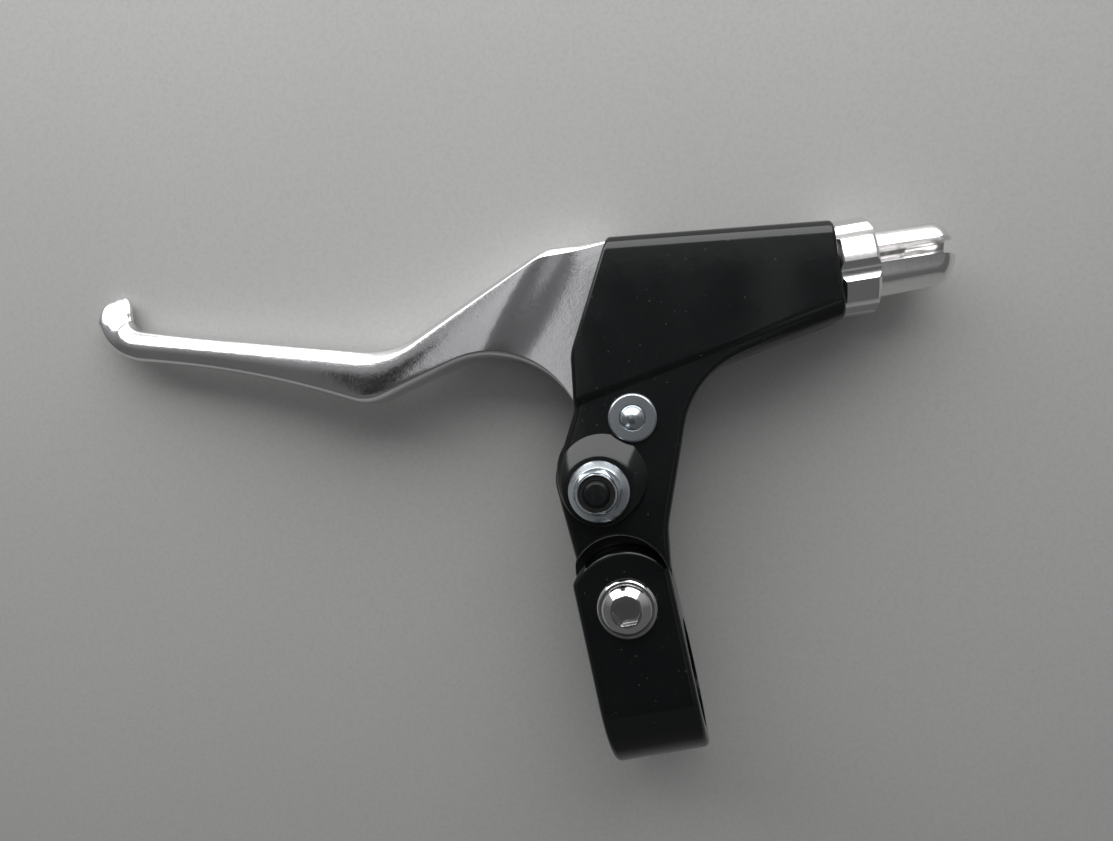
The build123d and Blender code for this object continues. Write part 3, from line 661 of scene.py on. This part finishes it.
def plain_pieces(finishes):
    """The pieces that keep their packed form, with eased edges."""
    table = [
        ("cast_bracket", "bracket", "bracket", "black_paint", 0.18),
        ("flange_lock_nut", "pivot_nut", "bracket", "zinc_steel", 0.12),
        ("lock_nut_insert", "lock_nut_ring", "bracket", "black_nylon", 0.10),
        ("stop_pin", "stop_rivet", "bracket", "zinc_steel", 0.12),
        ("stop_pin_washer", "stop_washer", "bracket", "zinc_steel", 0.10),
        ("clamp_bolt", "clamp_screw", "bracket", "chrome_steel", 0.05),
        ("pivot_axle", "pivot_bolt", "bracket", "black_steel", 0.12),
        ("front_bush", "pivot_bush_front", "lever", "black_nylon", 0.08),
        ("rear_bush", "pivot_bush_rear", "lever", "black_nylon", 0.08),
        ("lobed_lock_ring", "adjuster_lock_ring", "lock_ring", "satin_aluminium", 0.18),
    ]
    for name, node, body, slot, ease in table:
        mesh = merged_copy(node)
        ease_edges(mesh, ease * MM)
        if node == "adjuster_lock_ring":
            turn = Matrix.Rotation(RING_TURN, 3, CABLE_AXIS)
            bmesh.ops.rotate(mesh, verts=mesh.verts, cent=CABLE_START, matrix=turn)
        if node == "bracket":
            pivot_boss(mesh)
            neck_root(mesh)
        place(mesh, name, node, body, finishes[slot])


# Surroundings

def table_top():
    """The pale table, seen from above only."""
    finish, tree, shader, coords = new_finish("pale_table")
    fleck = spots(tree, coords, 0.8 * MM, 3.0)
    cloud = spots(tree, coords, 60 * MM, 2.0)
    pale = tint(tree, cloud, (0.435, 0.437, 0.425), (0.465, 0.467, 0.455))
    flecked = spread(tree, fleck, 0.0, 0.35, 0.42, 0.70)
    tree.links.new(strewn(tree, flecked, pale, (0.36, 0.36, 0.35)), shader.inputs["Base Color"])
    tree.links.new(spread(tree, fleck, 0.48, 0.62), shader.inputs["Roughness"])
    relief(tree, shader, [(fleck, 18e-6)])
    facing = tree.nodes.new("ShaderNodeNewGeometry")
    clear = tree.nodes.new("ShaderNodeBsdfTransparent")
    either = tree.nodes.new("ShaderNodeMixShader")
    tree.links.new(facing.outputs["Backfacing"], either.inputs[0])
    tree.links.new(shader.outputs["BSDF"], either.inputs[1])
    tree.links.new(clear.outputs["BSDF"], either.inputs[2])
    tree.links.new(either.outputs["Shader"], tree.nodes["Material Output"].inputs["Surface"])
    mesh = bmesh.new()
    bmesh.ops.create_grid(mesh, x_segments=1, y_segments=1, size=TABLE_HALF)
    turn = TABLE_NORMAL.to_track_quat("Z", "Y").to_matrix().to_4x4()
    bmesh.ops.transform(mesh, matrix=Matrix.Translation(TABLE_LOW) @ turn, verts=mesh.verts)
    table = new_object(mesh, "table_top", finish)


def card(name, box, pale):
    """A card beside the lens, which only shows in the polished faces turned to it."""
    finish, tree, shader, coords = new_finish(name)
    cloud = spots(tree, coords, 30 * MM)
    colours = [(pale * level, pale * level, 1.04 * pale * level) for level in (0.9, 1.1)]
    tree.links.new(tint(tree, cloud, *colours), shader.inputs["Base Color"])
    shader.inputs["Roughness"].default_value = 0.8
    left, right, foot, top = box
    shape = Matrix.Diagonal((right - left, top - foot, 1, 1))
    middle = Vector(((left + right) / 2, (foot + top) / 2, CARDS_BEHIND)) * MM
    spot = Matrix.Translation(LENS_AT) @ PHOTO_TURN @ Matrix.Translation(middle) @ shape
    mesh = bmesh.new()
    bmesh.ops.create_grid(mesh, x_segments=1, y_segments=1, size=0.5 * MM, matrix=spot)
    piece = new_object(mesh, name, finish)
    piece.visible_camera = False
    piece.visible_diffuse = False
    piece.visible_shadow = False


def lights():
    """A window's soft light from the photograph's top, in a plain grey room."""
    lamp = bpy.data.lights.new("window", "AREA")
    lamp.shape = "RECTANGLE"
    lamp.size, lamp.size_y = WINDOW_SIZE
    lamp.energy = WINDOW_RADIANCE * math.pi * WINDOW_SIZE[0] * WINDOW_SIZE[1]
    away = (PHOTO_UP - TABLE_NORMAL * PHOTO_UP.dot(TABLE_NORMAL)).normalized()
    right = away.cross(TABLE_NORMAL)
    foot = TABLE_LOW + PHOTO_UP * WINDOW_FROM + away * WINDOW_AWAY - right * WINDOW_LEFT
    window = bpy.data.objects.new("window", lamp)
    window.location = foot + TABLE_NORMAL * (WINDOW_FOOT + WINDOW_SIZE[1] / 2)
    window.rotation_euler = away.to_track_quat("Z", "Y").to_euler()
    bpy.context.scene.collection.objects.link(window)

    world = bpy.data.worlds.new("grey_room")
    bpy.context.scene.world = world
    world.use_nodes = True
    tree = world.node_tree
    way = tree.nodes.new("ShaderNodeTexCoord").outputs["Generated"]
    total = tree.nodes.new("ShaderNodeMath")
    total.operation = "ADD"
    for index, (direction, amount, start, end) in enumerate(ROOM_GLOW):
        height = tree.nodes.new("ShaderNodeVectorMath")
        height.operation = "DOT_PRODUCT"
        height.inputs[1].default_value = direction
        tree.links.new(way, height.inputs[0])
        glow = spread(tree, height.outputs["Value"], ROOM_BASE / 2, ROOM_BASE / 2 + amount, start, end)
        tree.links.new(glow, total.inputs[index])
    tree.links.new(total.outputs["Value"], tree.nodes["Background"].inputs["Strength"])
    tree.nodes["Background"].inputs["Color"].default_value = (*ROOM_TINT, 1)


def photo_camera():
    """The camera at the photograph's place and angle."""
    data = bpy.data.cameras.new("photo_camera")
    data.sensor_width = SENSOR
    data.lens = SENSOR * FOCAL_PIXELS / PHOTO_WIDTH
    data.clip_start = CLIP_START
    camera = bpy.data.objects.new("photo_camera", data)
    camera.matrix_world = Matrix.Translation(LENS_AT) @ PHOTO_TURN
    bpy.context.scene.collection.objects.link(camera)
    bpy.context.scene.camera = camera


finishes = {
    "black_paint": black_paint(),
    "polished_aluminium": polished_aluminium(),
    "satin_aluminium": turned_aluminium(),
    "zinc_steel": bright_zinc(),
    "chrome_steel": chrome_plate(),
    "black_steel": black_oxide(),
    "black_nylon": black_nylon(),
}
plain_pieces(finishes)
lever(finishes["polished_aluminium"])
barrel(finishes["satin_aluminium"])
table_top()
for name, (box, pale) in CARDS.items():
    card(name, box, pale)
lights()
photo_camera()
bpy.context.scene.view_settings.view_transform = "Standard"
